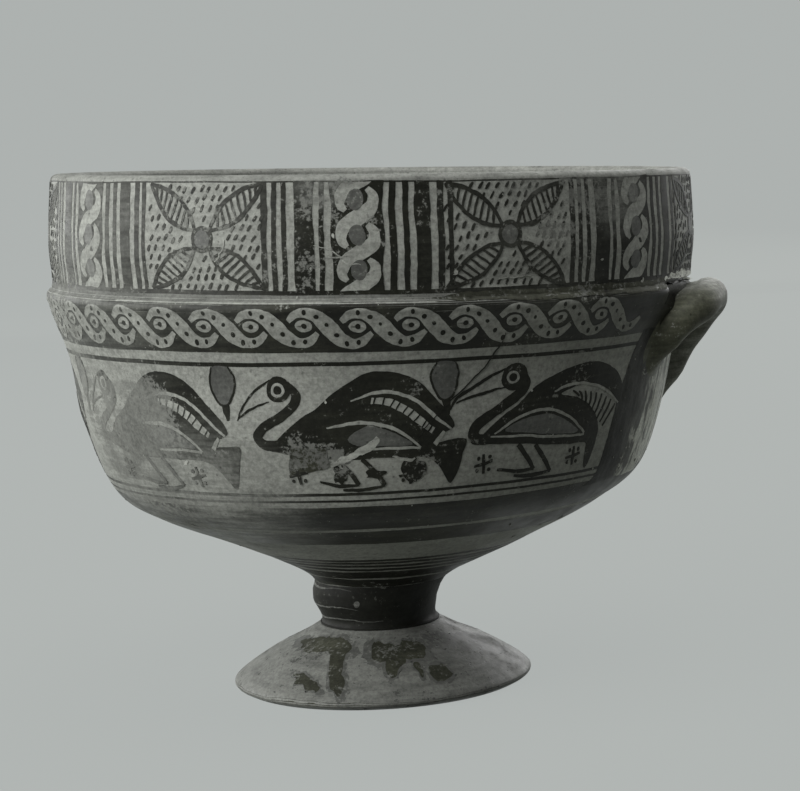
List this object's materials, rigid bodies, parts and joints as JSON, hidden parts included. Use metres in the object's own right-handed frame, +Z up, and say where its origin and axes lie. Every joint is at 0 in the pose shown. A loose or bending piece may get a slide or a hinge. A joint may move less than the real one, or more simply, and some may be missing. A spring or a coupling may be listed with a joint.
{
  "type": "painted bowl",
  "caption": "Hand-painted footed clay bowl: deep carinated basin with an upright collar, a short stem, a flaring foot and a loop handle.",
  "frame": {"origin": "under the middle of the whole part's box, in the plane that the foot stands on; the vessel's own axis stands 5.5 mm from it towards -X, because the one handle reaches out to +X", "axes": "+Z up, parallel to the vessel's axis, +X towards the middle of the loop handle"},
  "size_m": [0.2212, 0.2102, 0.166],
  "materials": {
    "pale_painted_clay": "matt pale slip with dark painted ornament, worn",
    "dark_painted_clay": "satin dark slip, brushed and worn",
    "foot_clay": "matt clay with worn dark patches",
    "luting_slip": "fired joining slip, rough"
  },
  "bodies": {
    "root": {"collar": "pale_painted_clay", "collar_luting_slip": "luting_slip", "basin": "pale_painted_clay", "stem_luting_slip": "luting_slip", "stem": "dark_painted_clay", "foot_luting_slip": "luting_slip", "foot": "foot_clay", "handle": "dark_painted_clay", "handle_pad_front": "dark_painted_clay", "handle_pad_back": "dark_painted_clay"}
  },
  "joints": []
}
